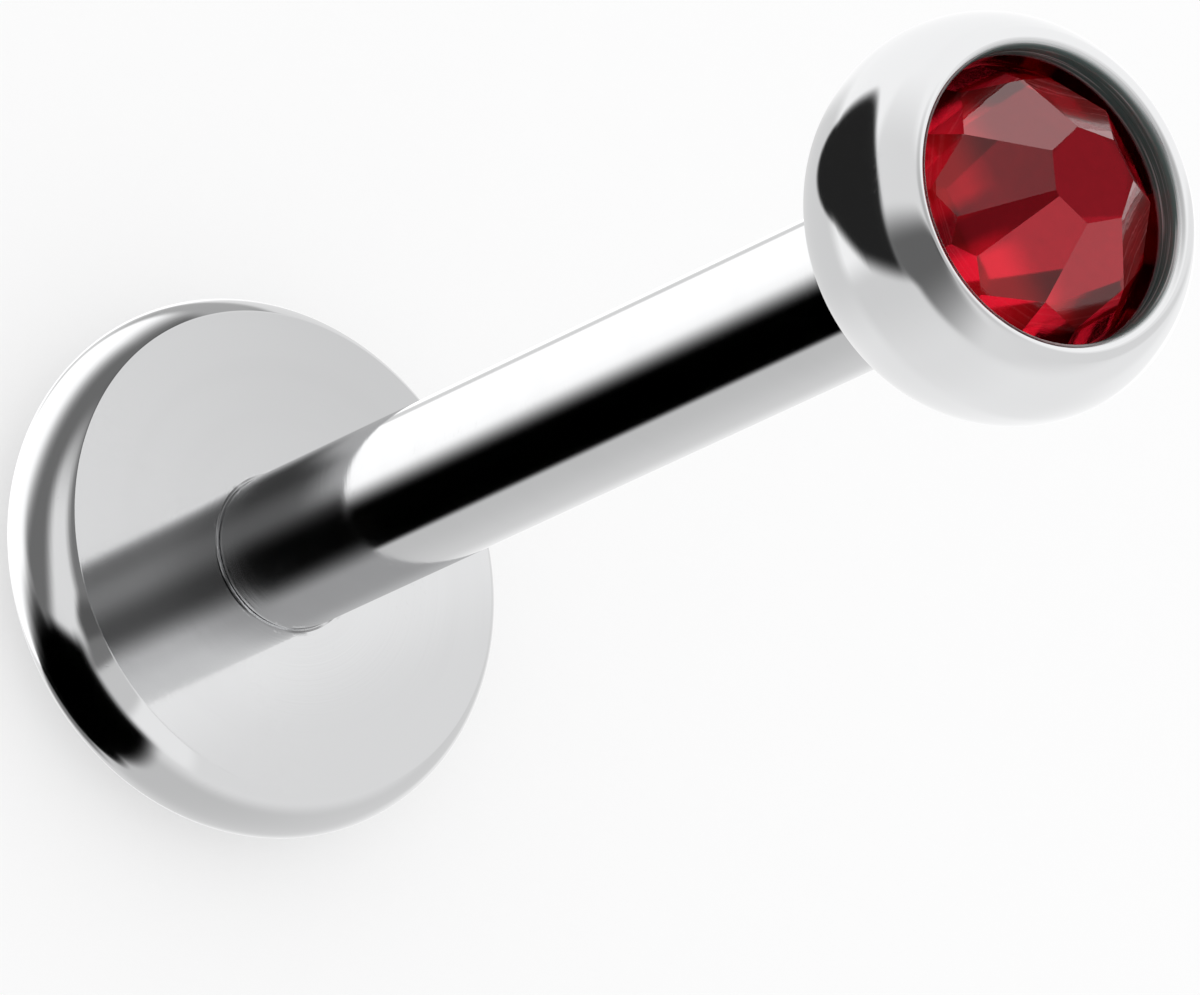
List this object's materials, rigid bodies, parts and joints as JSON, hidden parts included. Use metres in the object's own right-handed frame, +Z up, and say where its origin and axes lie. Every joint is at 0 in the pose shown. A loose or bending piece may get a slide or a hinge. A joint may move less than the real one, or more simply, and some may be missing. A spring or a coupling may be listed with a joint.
{
  "type": "labret stud",
  "caption": "Straight labret stud: polished flat disc with a bulged rim, slim round post, and a flattened ball whose cup holds a faceted red stone.",
  "frame": {"origin": "middle of the disc's flat underside, on the surface that the stud stands on", "axes": "+Z up along the post, from the disc to the ball and its stone; -Y is the front, the side that the picture's camera looks from"},
  "size_m": [0.0042, 0.0042, 0.0112],
  "materials": {
    "polished_steel": "mirror-polished surgical steel, bare and unplated",
    "red_stone": "clear deep red cut glass with a mirrored flat back"
  },
  "bodies": {
    "root": {"disc": "polished_steel", "post": "polished_steel", "ball_setting": "polished_steel", "stone": "red_stone"}
  },
  "joints": []
}
